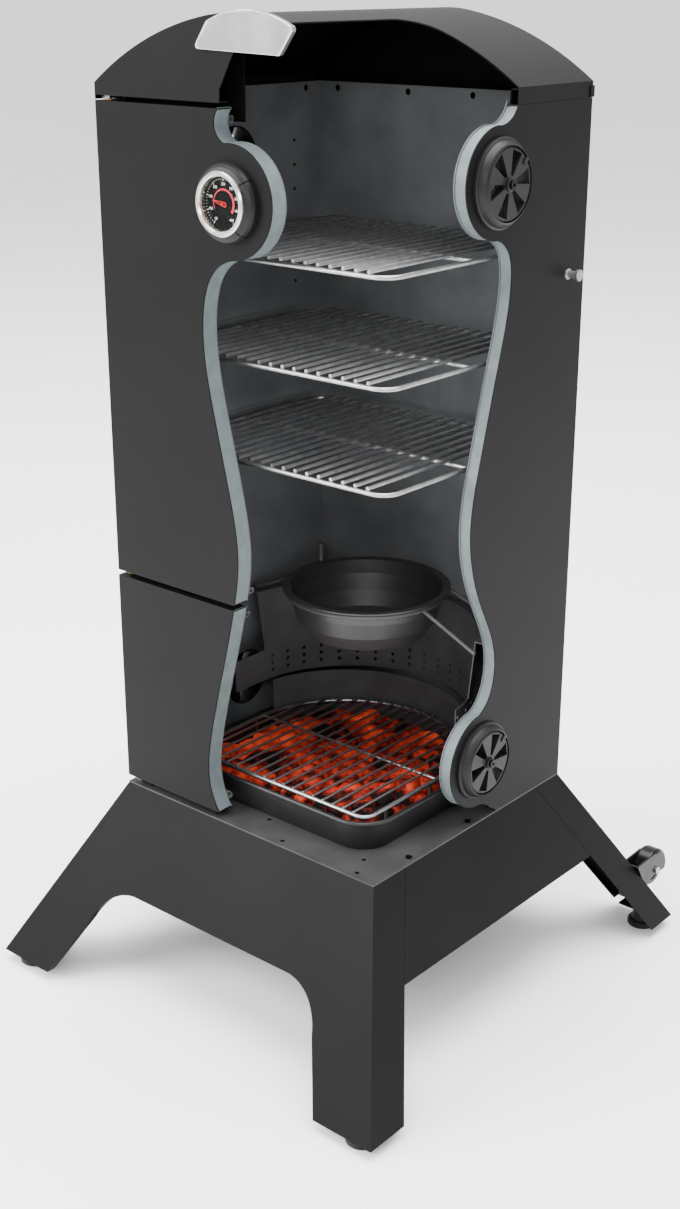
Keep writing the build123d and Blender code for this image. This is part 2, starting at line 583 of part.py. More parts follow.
def dampers():
    housing, rotor, bolt = damper_solids()
    housings, bolts = [], []
    # the centre web of the housing carries the bolt
    web = turned([(3.05, 0.05), (11.5, 0.05), (11.5, 7.5), (3.05, 7.5)], (0, 0, 0), (0, 0, 1))
    housing = join(housing, web)
    for lr, sx in (("left", -1), ("right", 1)):
        for level, z in DAMPER_Z.items():
            place = Plane(origin=(sx * HALF_W, DAMPER_Y, z), x_dir=(0, 1, 0), z_dir=(sx, 0, 0))
            housings.append(place * housing)
            bolts.append(place * bolt)
            put(f"damper_rotor_{level}_{lr}", place * rotor)
    put("damper_housings", *housings)
    put("damper_bolts", *bolts)


# ---- inside the cabinet ----
RACK_X = 190.0             # side wire of a rack
RACK_FRONT = -147.0
RACK_WIRE_R = 2.4
RACK_PITCH = 18.6
RACK_BACK = 168.0
RAIL_END = 122.0


def rails():
    """Folded ledges that carry the racks and the bowl plate."""
    pieces = []
    for sx in (-1, 1):
        start = CARCASS_FRONT + 6 if sx < 0 else 62.0
        for z in RACK_Z:
            ledge_z = z - 5.0
            a, b = sorted((sx * LINER_X, sx * (LINER_X - 12)))
            c, d = sorted((sx * LINER_X, sx * (LINER_X - 1.5)))
            rail = join(box(a, b, start, RAIL_END, ledge_z - 1.5, ledge_z),
                        box(c, d, start, RAIL_END, ledge_z - 1.5, ledge_z + 13))
            pieces.append(rail)
    put("rack_rails", *pieces)


def rack(z, half_x, y0, y1, frame_r, wire_r, pitch, cross_y, corner):
    """A welded wire grid: bent frame, lengthwise wires on it, cross wires under them."""
    mid = (y0 + y1) / 2
    frame = wire_ring(2 * half_x, y1 - y0, corner, (0, mid, z), frame_r)
    lift = frame_r + wire_r - 0.6
    wires = []
    count = int((2 * half_x - 2 * 12) // pitch)
    first = -pitch * (count - 1) / 2
    for i in range(count):
        x = first + i * pitch
        wires.append(rod((x, y0 + 1.0, z + lift), (x, y1 - 1.0, z + lift), wire_r))
    for y in cross_y:
        wires.append(rod((-half_x, y, z), (half_x, y, z), wire_r + 0.3))
    return join(frame, *wires)


def racks():
    for i, z in enumerate(RACK_Z):
        put(f"cooking_rack_{i + 1}", rack(z - 2.0, RACK_X - 3, RACK_FRONT, RACK_BACK, 2.9,
                                          RACK_WIRE_R, RACK_PITCH, (10.0,), 22))


SHIELD_X = 160.5
SHIELD_BACK = 162.5
SHIELD_TOP = 90.0
BAND_R = 164.0
BAND_BACK = 177.0
HOPPER_Z = 137.0
BOWL_Y = 45.0
TRAY_X = 173.0
TRAY_FRONT = -158.0
TRAY_BACK = 174.0
TRAY_RIM = 40.0
GRATE_Z = 46.0


def firebox():
    depth = TRAY_RIM - 0.1
    w, d = 2 * TRAY_X, TRAY_BACK - TRAY_FRONT
    mid = (TRAY_FRONT + TRAY_BACK) / 2
    outer = extrude(Pos(0, mid, TRAY_RIM) * RectangleRounded(w - 6, d - 6, 46), amount=-depth, taper=9)
    inner = extrude(Pos(0, mid, TRAY_RIM + 0.01) * RectangleRounded(w - 9, d - 9, 44.5),
                    amount=-depth + 1.5, taper=9)
    rim = wire_ring(w - 6, d - 6, 46, (0, mid, TRAY_RIM - 1.0), 3.0)
    put("charcoal_tray", join(outer - inner, rim - inner))
    put("charcoal_grate", grate())

    # a curved shield stands in the tray behind the coals, a pierced band hangs above it
    shield = d_block(SHIELD_X, SHIELD_BACK, 2.0, SHIELD_TOP) \
        - d_block(SHIELD_X - 1.5, SHIELD_BACK - 1.5, 0.0, SHIELD_TOP + 5)
    put("fire_shield", shield & box(-300, 300, 30, 300, 0, 200))
    z0, z1 = SHIELD_TOP + 1.5, HOPPER_Z
    band = d_block(BAND_R, BAND_BACK, z0, z1) - d_block(BAND_R - 1.5, BAND_BACK - 1.5, z0 - 5, z1 + 5)
    band &= box(-300, 0, -40, 300, 0, 200) + box(0, 300, 30, 300, 0, 200)
    cy = BAND_BACK - BAND_R
    holes = []
    for row in range(3):
        z = z0 + 12 + 11 * row
        for k in range(-9, 10):
            a = radians(90 + 9.2 * k)
            near, far = BAND_R - 8, BAND_R + 8
            holes.append(rod((near * cos(a), cy + near * sin(a), z),
                             (far * cos(a), cy + far * sin(a), z), 2.6))
    put("perforated_band", band.cut(*holes))

    # a hopper-shaped plate above the fire gathers the smoke round the bowl
    top_z, top_r, top_y = 220.0, 178.0, -2.0
    low, high = Pos(0, cy, HOPPER_Z + 0.1), Pos(0, top_y, top_z)
    hopper = loft([low * Circle(BAND_R), high * Circle(top_r)]) \
        - loft([low * Circle(BAND_R - 1.5), high * Circle(top_r - 1.5)])
    hopper &= box(-300, 0, 19, 300, 100, 300) + box(0, 300, 70, 300, 100, 300)
    plate = join(box(-LINER_X + 0.3, 0, 19, LINER_Y - 0.3, top_z - 1.5, top_z),
                 box(0, LINER_X - 0.3, 70, LINER_Y - 0.3, top_z - 1.5, top_z))
    plate -= Pos(0, top_y, top_z) * Cylinder(top_r - 1.6, 6)
    post = turned([(0, -0.5), (5, -0.5), (5, 44), (4, 45), (0, 45)], (-163, 140, top_z), (0, 0, 1))
    put("bowl_plate", join(hopper, plate, post))

    ring_z = 260.8
    pieces = []
    for sx in (-1, 1):
        pieces.append(rod((sx * 75.6, BOWL_Y + 75.6, ring_z - 1), (sx * 158, BOWL_Y + 91, top_z + 2.6), 2.5))
        pieces.append(rod((sx * 105, BOWL_Y - 13, ring_z - 1), (sx * 190, BOWL_Y - 15, top_z + 2.8), 2.5))
    put("bowl_cradle", join(Pos(0, BOWL_Y, ring_z) * Torus(106.6, 3), *pieces))
    bowl = [(0, 0), (62, 0), (80, 8), (94, 28), (100.5, 50), (103, 66), (112, 68), (112, 70), (101.5, 69.2),
            (98.6, 50.6), (92.4, 29), (78.6, 9.8), (61.5, 1.8), (0, 1.8)]
    put("water_bowl", turned(bowl, (0, BOWL_Y, 197.2), (0, 0, 1)))


def grate():
    """The charcoal grate: a D-shaped wire frame, lengthwise wires, one cross wire, four legs."""
    half, back, front, corner = 154.0, 156.0, -140.0, 16.0
    z, r, wire_r, pitch = GRATE_Z - 1.8, 3.0, 1.7, 16.8
    cy = back - half
    q = corner * (1 - 1 / sqrt(2))
    path = Wire([Line((-half + corner, front, z), (half - corner, front, z)),
                 ThreePointArc((half - corner, front, z), (half - q, front + q, z),
                               (half, front + corner, z)),
                 Line((half, front + corner, z), (half, cy, z)),
                 ThreePointArc((half, cy, z), (0, back, z), (-half, cy, z)),
                 Line((-half, cy, z), (-half, front + corner, z)),
                 ThreePointArc((-half, front + corner, z), (-half + q, front + q, z),
                               (-half + corner, front, z))])
    frame = sweep(Plane(origin=path @ 0, z_dir=path % 0) * Circle(r), path=path)
    lift = r + wire_r - 0.6
    wires = []
    for i in range(-8, 9):
        x = pitch * i
        wires.append(rod((x, front - 1.5, z + lift), (x, cy + sqrt(half**2 - x * x) + 1, z + lift), wire_r))
    wires.append(rod((-half, 5, z), (half, 5, z), wire_r + 0.3))
    for x, y in ((-half, -100), (half, -100), (-half, -10), (half, -10)):
        wires.append(rod((x, y, 1.8), (x, y, z), 2.4))
    return join(frame, *wires)


def d_block(half, back, z0, z1):
    """A D-shaped block: straight sides, a half-round back, open space in front."""
    cy = back - half
    edges = [Line((half, -200, z0), (half, cy, z0)),
             ThreePointArc((half, cy, z0), (0, back, z0), (-half, cy, z0)),
             Line((-half, cy, z0), (-half, -200, z0)),
             Line((-half, -200, z0), (half, -200, z0))]
    return extrude(make_face(Wire(edges)), amount=z1 - z0, dir=(0, 0, 1))


def coals():
    """A bed of charcoal: chunky lumps lying apart on the tray floor."""
    lumps = []
    for row in range(5):
        for col in range(6):
            x = -112 + 45 * col + 4 * sin(3.1 * row + col)
            y = -108 + 50 * row + 4 * cos(2.3 * col + row)
            if hypot(x, y) > 128 and y > 0:
                continue
            lump = Box(33 + 4 * sin(row + 2 * col), 38 + 4 * cos(3 * row + col), 24)
            lump = chamfer(lump.edges().filter_by(Axis.Z), 7)
            lump = chamfer(lump.faces().sort_by(Axis.Z)[-1].edges(), 4)
            lumps.append(Pos(x, y, 1.7 + 12.0) * lump)
    put("charcoal_bed", *lumps)


def side_peg():
    y, z = PEG_Y, PEG_Z
    stem = rod((HALF_W - 8, y, z), (HALF_W + 14, y, z), 4.4)
    collar = rod((HALF_W + 0.05, y, z), (HALF_W + 1.6, y, z), 6.5)
    put("side_peg", join(stem, collar))
    put("side_peg_cap", rod((HALF_W + 14.05, y, z), (HALF_W + 18, y, z), 7.0))


def export_all():
    everything = [solid for solids in NODES.values() for solid in solids]
    low_y = min(solid.bounding_box().min.Y for solid in everything)
    high_y = max(solid.bounding_box().max.Y for solid in everything)
    place = Pos(0, -(low_y + high_y) / 2, BASE_HEIGHT)
    os.makedirs("parts", exist_ok=True)
    for name, solids in NODES.items():
        placed = [place * solid for solid in solids]
        export_step(Compound(children=placed) if len(placed) > 1 else placed[0], f"parts/{name}.step")


base()
feet()
transport_wheels()
carcass()
roof()
doors()
thermometer()
dampers()
rails()
racks()
firebox()
coals()
side_peg()
export_all()
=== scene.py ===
"""A charcoal cabinet smoker, cut open at one corner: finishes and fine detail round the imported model."""
import json
import random
from math import atan2, cos, hypot, pi, radians, sin

import bmesh
import bpy
from mathutils import Matrix, Vector, noise


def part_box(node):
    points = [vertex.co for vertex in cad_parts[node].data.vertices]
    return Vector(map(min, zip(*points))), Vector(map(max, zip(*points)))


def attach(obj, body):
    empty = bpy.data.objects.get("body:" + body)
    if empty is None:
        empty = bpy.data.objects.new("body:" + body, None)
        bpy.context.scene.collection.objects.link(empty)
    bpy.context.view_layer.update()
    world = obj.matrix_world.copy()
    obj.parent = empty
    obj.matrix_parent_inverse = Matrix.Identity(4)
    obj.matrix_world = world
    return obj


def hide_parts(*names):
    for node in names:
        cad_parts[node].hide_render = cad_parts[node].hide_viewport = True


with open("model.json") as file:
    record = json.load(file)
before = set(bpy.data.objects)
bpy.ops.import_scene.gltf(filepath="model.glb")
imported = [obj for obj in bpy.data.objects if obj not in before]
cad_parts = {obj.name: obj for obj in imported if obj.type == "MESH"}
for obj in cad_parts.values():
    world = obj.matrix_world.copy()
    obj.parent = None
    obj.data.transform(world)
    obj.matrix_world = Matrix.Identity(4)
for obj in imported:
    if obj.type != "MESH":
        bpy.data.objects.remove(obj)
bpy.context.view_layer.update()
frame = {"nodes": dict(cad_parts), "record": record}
MM = 0.001


# ---- camera, light and floor ----
def camera():
    """Looks down at the front right corner from a little above the roof."""
    data = bpy.data.cameras.new("camera")
    data.sensor_width = 36
    data.lens = 49.74
    eye = bpy.data.objects.new("camera", data)
    plate_low, plate_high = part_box("base_top_plate")
    middle_y = (plate_low[1] + plate_high[1]) / 2
    eye.location = (1.3262, middle_y - 1.5613, plate_high[2] + 1.0335)
    eye.rotation_euler = (radians(90 - 20.896), 0, radians(40.514))
    bpy.context.collection.objects.link(eye)
    bpy.context.scene.camera = eye


def area_light(name, place, target, size, watts):
    data = bpy.data.lights.new(name, "AREA")
    data.shape = "DISK"
    data.size = size
    data.energy = watts
    lamp = bpy.data.objects.new(name, data)
    lamp.location = place
    lamp.rotation_euler = (Vector(target) - Vector(place)).to_track_quat("-Z", "Y").to_euler()
    bpy.context.collection.objects.link(lamp)


def studio():
    """A white room: a wide soft box overhead, a key over the left shoulder, a fill into the cabinet."""
    area_light("overhead", (0, 0.2, 4.5), (0, 0, 0), 5.0, 700)
    area_light("key", (-2.2, -3.2, 2.6), (0, 0, 0.7), 2.6, 330)
    area_light("inside_fill", (1.35, -1.75, 1.75), (0, 0, 0.85), 0.5, 16)
    world = bpy.data.worlds.new("white_room")
    world.use_nodes = True
    backdrop = world.node_tree.nodes["Background"]
    backdrop.inputs["Color"].default_value = (1, 1, 1, 1)
    backdrop.inputs["Strength"].default_value = 1.5
    bpy.context.scene.world = world
    mesh = bpy.data.meshes.new("floor")
    reach = 12.0
    mesh.from_pydata([(-reach, -reach, 0), (reach, -reach, 0), (reach, reach, 0), (-reach, reach, 0)],
                     [], [(0, 1, 2, 3)])
    floor = bpy.data.objects.new("floor", mesh)
    bpy.context.collection.objects.link(floor)
    floor.data.materials.append(pale_floor())


# ---- materials ----
def srgb(code):
    """An sRGB hex colour as linear RGBA."""
    channels = [int(code[i:i + 2], 16) / 255 for i in (0, 2, 4)]
    linear = [c / 12.92 if c <= 0.04045 else ((c + 0.055) / 1.055)**2.4 for c in channels]
    return (*linear, 1.0)


def per_metre(millimetres):
    """A texture's scale for features of a given size."""
    return 1000.0 / millimetres


def add(tree, kind, settings, inputs):
    """One node with its settings; an input takes a value or another node's output."""
    made = tree.nodes.new(kind)
    for name, value in settings.items():
        setattr(made, name, value)
    for name, value in inputs.items():
        if isinstance(value, bpy.types.NodeSocket):
            tree.links.new(value, made.inputs[name])
        else:
            made.inputs[name].default_value = value
    return made


def start(name, **sockets):
    """A new material; returns its tree, its shader and its object coordinates."""
    material = bpy.data.materials.new(name)
    material.use_nodes = True
    tree = material.node_tree
    shader = tree.nodes["Principled BSDF"]
    for socket, value in sockets.items():
        shader.inputs[socket.replace("_", " ")].default_value = value
    where = add(tree, "ShaderNodeTexCoord", {}, {}).outputs["Object"]
    return material, tree, shader, where


def mottle(tree, where, size_mm, low, high, detail=3.0):
    """Two colours in soft patches of a given size."""
    patches = add(tree, "ShaderNodeTexNoise", {}, {"Vector": where, "Scale": per_metre(size_mm),
                                                   "Detail": detail})
    ramp = add(tree, "ShaderNodeValToRGB", {}, {"Fac": patches.outputs["Fac"]})
    ramp.color_ramp.elements[0].position = 0.3
    ramp.color_ramp.elements[1].position = 0.7
    ramp.color_ramp.elements[0].color = srgb(low)
    ramp.color_ramp.elements[1].color = srgb(high)
    return ramp.outputs["Color"]


def relief(tree, shader, where, size_mm, depth_mm, strength):
    """Fine bumps of a given size and depth on the shader."""
    grain = add(tree, "ShaderNodeTexNoise", {}, {"Vector": where, "Scale": per_metre(size_mm), "Detail": 2.0})
    bump = add(tree, "ShaderNodeBump", {}, {"Height": grain.outputs["Fac"], "Distance": depth_mm * MM,
                                            "Strength": strength})
    tree.links.new(bump.outputs["Normal"], shader.inputs["Normal"])
    return grain.outputs["Fac"]


def vary_roughness(tree, shader, amount, low, high):
    spread = add(tree, "ShaderNodeMapRange", {}, {"Value": amount, "To Min": low, "To Max": high})
    tree.links.new(spread.outputs["Result"], shader.inputs["Roughness"])


def powder_coat():
    """Black powder coat on folded steel: satin, with a faint orange peel that softens the highlights."""
    material, tree, shader, where = start("black_powder_coat", IOR=1.5, Specular_IOR_Level=0.07)
    colour = mottle(tree, where, 140, "0d0d0e", "101011")
    tree.links.new(colour, shader.inputs["Base Color"])
    peel = relief(tree, shader, where, 2.2, 0.05, 0.25)
    vary_roughness(tree, shader, peel, 0.40, 0.52)
    return material


def roof_coat():
    """The same powder coat on the roof, with painted shade: near black on its underside and on the side faces
    that look inward.
    """
    material = powder_coat()
    material.name = "roof_coat_painted_shade_inside"
    tree = material.node_tree
    shader = tree.nodes["Principled BSDF"]
    geometry = add(tree, "ShaderNodeNewGeometry", {}, {})
    normal = add(tree, "ShaderNodeSeparateXYZ", {}, {"Vector": geometry.outputs["Normal"]})
    place = add(tree, "ShaderNodeSeparateXYZ", {}, {"Vector": geometry.outputs["Position"]})
    sideways = add(tree, "ShaderNodeMath", {"operation": "MULTIPLY"},
                   {0: normal.outputs["X"], 1: place.outputs["X"]})
    outward = add(tree, "ShaderNodeMath", {"operation": "MULTIPLY_ADD"},
                  {0: sideways.outputs[0], 1: 8.0, 2: normal.outputs["Z"]})
    # Faces that point down, or in towards the middle of the roof, take the near-black painted shade.
    inside = add(tree, "ShaderNodeMath", {"operation": "LESS_THAN"}, {0: outward.outputs[0], 1: -0.05})
    outer = shader.inputs["Base Color"].links[0].from_socket
    blend = add(tree, "ShaderNodeMix", {"data_type": "RGBA"},
                {0: inside.outputs[0], 6: outer, 7: srgb("040404")})
    tree.links.new(blend.outputs[2], shader.inputs["Base Color"])
    return material


def plate_coat_painted_skylight():
    """Powder coat on the top of the base, a tone paler as painted light, for the sky light and sheen on its
    upward face.
    """
    material, tree, shader, where = start("powder_coat_painted_skylight", IOR=1.5, Specular_IOR_Level=0.2)
    # The paler pair of colours is painted light on the upward face.
    tree.links.new(mottle(tree, where, 45, "2b2b2c", "363637"), shader.inputs["Base Color"])
    peel = relief(tree, shader, where, 2.2, 0.05, 0.25)
    vary_roughness(tree, shader, peel, 0.42, 0.55)
    return material


def shade_and_seam_black():
    """Near-black steel: painted shade on the steel behind the roof front and in the open holes of the base
    plate, and the dark parting lines on the gauge housing.
    """
    material, tree, shader, where = start("painted_shade_and_seam_black", IOR=1.5, Specular_IOR_Level=0.06)
    tree.links.new(mottle(tree, where, 30, "020202", "060606"), shader.inputs["Base Color"])
    crust = relief(tree, shader, where, 2.5, 0.08, 0.3)
    vary_roughness(tree, shader, crust, 0.6, 0.8)
    return material


def bare_zinc():
    """Galvanised edge channel round the cut, pale blue grey and dull."""
    material, tree, shader, where = start("galvanised_edge", IOR=1.5, Specular_IOR_Level=0.3)
    tree.links.new(mottle(tree, where, 18, "535b5d", "5f686a"), shader.inputs["Base Color"])
    spangle = relief(tree, shader, where, 2.5, 0.04, 0.25)
    vary_roughness(tree, shader, spangle, 0.5, 0.62)
    return material


def speckled_enamel():
    """Grey graniteware enamel on the water bowl: pale specks under a soft gloss."""
    material, tree, shader, where = start("speckled_enamel", IOR=1.5)
    tree.links.new(mottle(tree, where, 1.8, "1c1c1d", "2e2e2f", 1.0), shader.inputs["Base Color"])
    ripple = relief(tree, shader, where, 9.0, 0.1, 0.2)
    vary_roughness(tree, shader, ripple, 0.38, 0.5)
    return material


def liner_coat(name, axis, side):
    """Heat-proof coat on thin sheet: mid grey where it faces the fire, bare zinc on the side in the wall."""
    material, tree, shader, where = start(name, IOR=1.5, Specular_IOR_Level=0.3)
    normal = add(tree, "ShaderNodeNewGeometry", {}, {}).outputs["Normal"]
    parts = add(tree, "ShaderNodeSeparateXYZ", {}, {"Vector": normal})
    facing = add(tree, "ShaderNodeMath", {"operation": "MULTIPLY"}, {0: parts.outputs[axis], 1: side})
    inner = add(tree, "ShaderNodeMath", {"operation": "GREATER_THAN"}, {0: facing.outputs[0], 1: 0.5})
    fire_side = mottle(tree, where, 60, "4c4e50", "595b5d")
    wall_side = mottle(tree, where, 25, "535b5d", "5f686a")
    blend = add(tree, "ShaderNodeMix", {"data_type": "RGBA"},
                {0: inner.outputs[0], 6: fire_side, 7: wall_side})
    tree.links.new(blend.outputs[2], shader.inputs["Base Color"])
    spangle = relief(tree, shader, where, 3.0, 0.04, 0.2)
    vary_roughness(tree, shader, spangle, 0.42, 0.58)
    return material


def stove_enamel(name, low, high):
    """Fired stove enamel: smooth and a little glossy, with a slow ripple in the glass."""
    material, tree, shader, where = start(name, IOR=1.5, Specular_IOR_Level=0.3)
    tree.links.new(mottle(tree, where, 45, low, high), shader.inputs["Base Color"])
    ripple = relief(tree, shader, where, 9.0, 0.12, 0.2)
    vary_roughness(tree, shader, ripple, 0.28, 0.45)
    return material


def plated_wire():
    """Bright nickel-chrome plating on drawn wire: faint lengthwise streaks, small dull spots."""
    material, tree, shader, where = start("plated_wire", Metallic=1.0)
    tree.links.new(mottle(tree, where, 12, "8f9091", "a9aaab"), shader.inputs["Base Color"])
    spots = relief(tree, shader, where, 1.6, 0.03, 0.15)
    vary_roughness(tree, shader, spots, 0.32, 0.46)
    return material


def zinc_plate(name, low, high):
    """Zinc plated steel: soft cloudy metal, bright on the axles and passivated black on the screws."""
    material, tree, shader, where = start(name, Metallic=1.0)
    tree.links.new(mottle(tree, where, 4, low, high), shader.inputs["Base Color"])
    cloud = relief(tree, shader, where, 1.2, 0.02, 0.2)
    vary_roughness(tree, shader, cloud, 0.35, 0.5)
    return material


def moulded_plastic(name, low, high, rough_low, rough_high):
    """Glass-filled nylon: black, fine spark-eroded texture from the mould."""
    material, tree, shader, where = start(name, IOR=1.5, Specular_IOR_Level=0.2)
    tree.links.new(mottle(tree, where, 30, low, high), shader.inputs["Base Color"])
    texture = relief(tree, shader, where, 1.0, 0.04, 0.3)
    vary_roughness(tree, shader, texture, rough_low, rough_high)
    return material


def turned_brass():
    """Turned brass bush: yellow metal with fine tool rings."""
    material, tree, shader, where = start("turned_brass", Metallic=1.0)
    tree.links.new(mottle(tree, where, 3, "b08d45", "c9a75c"), shader.inputs["Base Color"])
    rings = relief(tree, shader, where, 0.8, 0.02, 0.2)
    vary_roughness(tree, shader, rings, 0.25, 0.4)
    return material


def silicone():
    """Extruded silicone bulb seal: dull dark grey with a dusty bloom."""
    material, tree, shader, where = start("silicone_seal", IOR=1.41)
    tree.links.new(mottle(tree, where, 8, "3a3b3c", "4a4b4c"), shader.inputs["Base Color"])
    bloom = relief(tree, shader, where, 1.0, 0.03, 0.25)
    vary_roughness(tree, shader, bloom, 0.6, 0.75)
    return material


def spun_bezel():
    """Spun stainless bezel with a warm pale glint."""
    material, tree, shader, where = start("spun_bezel", Metallic=1.0)
    tree.links.new(mottle(tree, where, 6, "c2c1ba", "dad9d2"), shader.inputs["Base Color"])
    rings = relief(tree, shader, where, 0.9, 0.01, 0.2)
    vary_roughness(tree, shader, rings, 0.2, 0.3)
    return material


def badge_metal():
    """Die-cast badge, satin plated and left blank, with fine brushing across it."""
    material, tree, shader, where = start("satin_badge", Metallic=1.0)
    stretched = add(tree, "ShaderNodeMapping", {}, {"Vector": where, "Scale": (0.06, 1.0, 1.0)})
    brushing = relief(tree, shader, stretched.outputs["Vector"], 0.7, 0.02, 0.3)
    tree.links.new(mottle(tree, where, 30, "7c7d7f", "919294"), shader.inputs["Base Color"])
    vary_roughness(tree, shader, brushing, 0.28, 0.42)
    return material


def printed(name, low, high, roughness):
    """Screen-printed ink on the dial: flat, with a slight unevenness."""
    material, tree, shader, where = start(name, IOR=1.5, Roughness=roughness, Specular_IOR_Level=0.08)
    tree.links.new(mottle(tree, where, 2.5, low, high), shader.inputs["Base Color"])
    return material


def clear_glass():
    """Flat gauge glass: nearly clear, with a faint smear that only shows in highlights."""
    material, tree, shader, where = start("gauge_glass", IOR=1.5, Alpha=0.04, Specular_IOR_Level=0.3)
    tree.links.new(mottle(tree, where, 20, "161b1c", "1c2223"), shader.inputs["Base Color"])
    smear = add(tree, "ShaderNodeTexNoise", {}, {"Vector": where, "Scale": per_metre(18)})
    vary_roughness(tree, shader, smear.outputs["Fac"], 0.03, 0.1)
    return material


def glowing_charcoal():
    """Lit charcoal: dark crust in broad patches, deep red heat between, brighter in the cracks."""
    material, tree, shader, where = start("glowing_charcoal", IOR=1.5, Roughness=0.85, Emission_Strength=0.28,
                                          Specular_IOR_Level=0.1)
    fine = add(tree, "ShaderNodeTexNoise", {}, {"Vector": where, "Scale": per_metre(24), "Detail": 7.0,
                                                "Roughness": 0.65})
    broad = add(tree, "ShaderNodeTexNoise", {}, {"Vector": where, "Scale": per_metre(75), "Detail": 2.0})
    heat = add(tree, "ShaderNodeMath", {"operation": "MULTIPLY_ADD"},
               {0: broad.outputs["Fac"], 1: 0.9, 2: fine.outputs["Fac"]})
    scaled = add(tree, "ShaderNodeMath", {"operation": "MULTIPLY"}, {0: heat.outputs[0], 1: 0.55})
    ramp = add(tree, "ShaderNodeValToRGB", {}, {"Fac": scaled.outputs[0]})
    stops = ramp.color_ramp
    stops.elements[0].position = 0.46
    stops.elements[0].color = srgb("0d0707")
    stops.elements[1].position = 0.66
    stops.elements[1].color = srgb("d24a2e")
    stops.elements.new(0.50).color = srgb("5a140d")
    stops.elements.new(0.55).color = srgb("962a1b")
    tree.links.new(ramp.outputs["Color"], shader.inputs["Emission Color"])
    tree.links.new(ramp.outputs["Color"], shader.inputs["Base Color"])
    relief(tree, shader, where, 3.5, 0.9, 0.8)
    return material


def pale_floor():
    """A smooth white studio sweep."""
    material, tree, shader, where = start("pale_floor", IOR=1.4, Roughness=0.9)
    tree.links.new(mottle(tree, where, 700, "fbfbfb", "ffffff"), shader.inputs["Base Color"])
    return material


def finish_nodes():
    """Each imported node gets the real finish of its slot."""
    coat = powder_coat()
    nylon = moulded_plastic("moulded_nylon", "0f0f10", "161617", 0.38, 0.5)
    finishes = {
        "painted_steel": coat,
        "liner_steel": liner_coat("liner_coat", "X", 0.0),
        "stove_enamel": stove_enamel("grey_enamel", "3a3a3b", "454546"),
        "chrome_wire": plated_wire(),
        "black_plastic": nylon,
        "foot_plastic": moulded_plastic("foot_nylon", "101011", "181819", 0.5, 0.65),
        "wheel_plastic": moulded_plastic("gloss_nylon", "080809", "0e0e0f", 0.2, 0.32),
        "zinc_steel": zinc_plate("bright_zinc", "8f9092", "b2b3b4"),
        "brass": turned_brass(),
        "seal_rubber": silicone(),
        "badge_metal": badge_metal(),
        "gauge_bezel": spun_bezel(),
        "gauge_face": printed("dial_black", "040404", "070707", 0.7),
        "gauge_glass": clear_glass(),
        "needle_paint": printed("needle_red", "a02420", "b0302a", 0.4),
        "charcoal": glowing_charcoal(),
        "bowl_enamel": speckled_enamel(),
    }
    slots = {part["node"]: part["material_slot"] for part in frame["record"]["subparts"]}
    for name, obj in frame["nodes"].items():
        obj.data.materials.clear()
        obj.data.materials.append(finishes[slots[name]])
    door_liner = liner_coat("door_inner_coat", "Y", -1.0)
    side_liner = liner_coat("wall_inner_coat", "X", 1.0)
    black_zinc = zinc_plate("black_zinc", "1c1c1d", "2a2a2b")
    black_enamel = stove_enamel("black_enamel", "141415", "1c1c1d")
    special = {
        "upper_door_liner": door_liner,
        "lower_door_liner": door_liner,
        "right_liner": side_liner,
        "roof_sheet": roof_coat(),
        # The steel behind the roof front is near black: painted shade.
        "front_header": shade_and_seam_black(),
        "base_top_plate": plate_coat_painted_skylight(),
        "wheel_brackets": finishes["wheel_plastic"],
        "damper_bolts": black_zinc,
        "plate_screws": black_zinc,
        "charcoal_tray": black_enamel,
    }
    for name, finish in special.items():
        frame["nodes"][name].data.materials[0] = finish
    return finishes


# ---- small mesh helpers ----
def piece(name, mesh, body, material, smooth=True):
    """A finished piece that rides on a body and takes the finish it is given."""
    obj = bpy.data.objects.new(name, mesh)
    bpy.context.collection.objects.link(obj)
    mesh.materials.append(material)
    for polygon in mesh.polygons:
        polygon.use_smooth = smooth
    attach(obj, body)
    return obj


def centre(node):
    low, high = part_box(node)
    return (Vector(low) + Vector(high)) / 2


def bridge(bm, rings, pairs):
    """Skins each pair of equal rings with four-sided faces."""
    for one, two in pairs(rings):
        for i in range(len(one)):
            j = (i + 1) % len(one)
            bm.faces.new((one[i], one[j], two[j], two[i]))


def in_line(rings):
    return zip(rings, rings[1:])


def in_loop(rings):
    return zip(rings, rings[1:] + rings[:1])


def cap(bm, rings):
    """Closes the first and last ring of a tube."""
    bm.faces.new(rings[0][::-1])
    bm.faces.new(rings[-1])


def baked(name, bm):
    """The finished mesh, with its faces turned outward."""
    bmesh.ops.recalc_face_normals(bm, faces=bm.faces)
    mesh = bpy.data.meshes.new(name)
    bm.to_mesh(mesh)
    bm.free()
    return mesh


# ---- charcoal ----
def lump(bm, rng, place, size):
    """One broken lump: a sphere pulled out of round and cut into rough facets."""
    made = bmesh.ops.create_icosphere(bm, subdivisions=3, radius=1.0)["verts"]
    spin = Matrix.Rotation(rng.uniform(0, 2 * pi), 3, "Z") @ Matrix.Rotation(rng.uniform(-0.5, 0.5), 3, "X")
    shape = Vector((size * rng.uniform(0.75, 1.25), size * rng.uniform(0.6, 0.95),
                    size * rng.uniform(0.5, 0.7)))
    seed = Vector((rng.uniform(0, 90), rng.uniform(0, 90), rng.uniform(0, 90)))
    for vert in made:
        out = vert.co.normalized()
        blocky = out / max(abs(out.x), abs(out.y), abs(out.z))**0.55
        rough = 1 + 0.16 * noise.noise(out * 1.7 + seed) + 0.07 * noise.noise(out * 5 + seed)
        vert.co = place + spin @ Vector((blocky.x * shape.x, blocky.y * shape.y, blocky.z * shape.z)) * rough


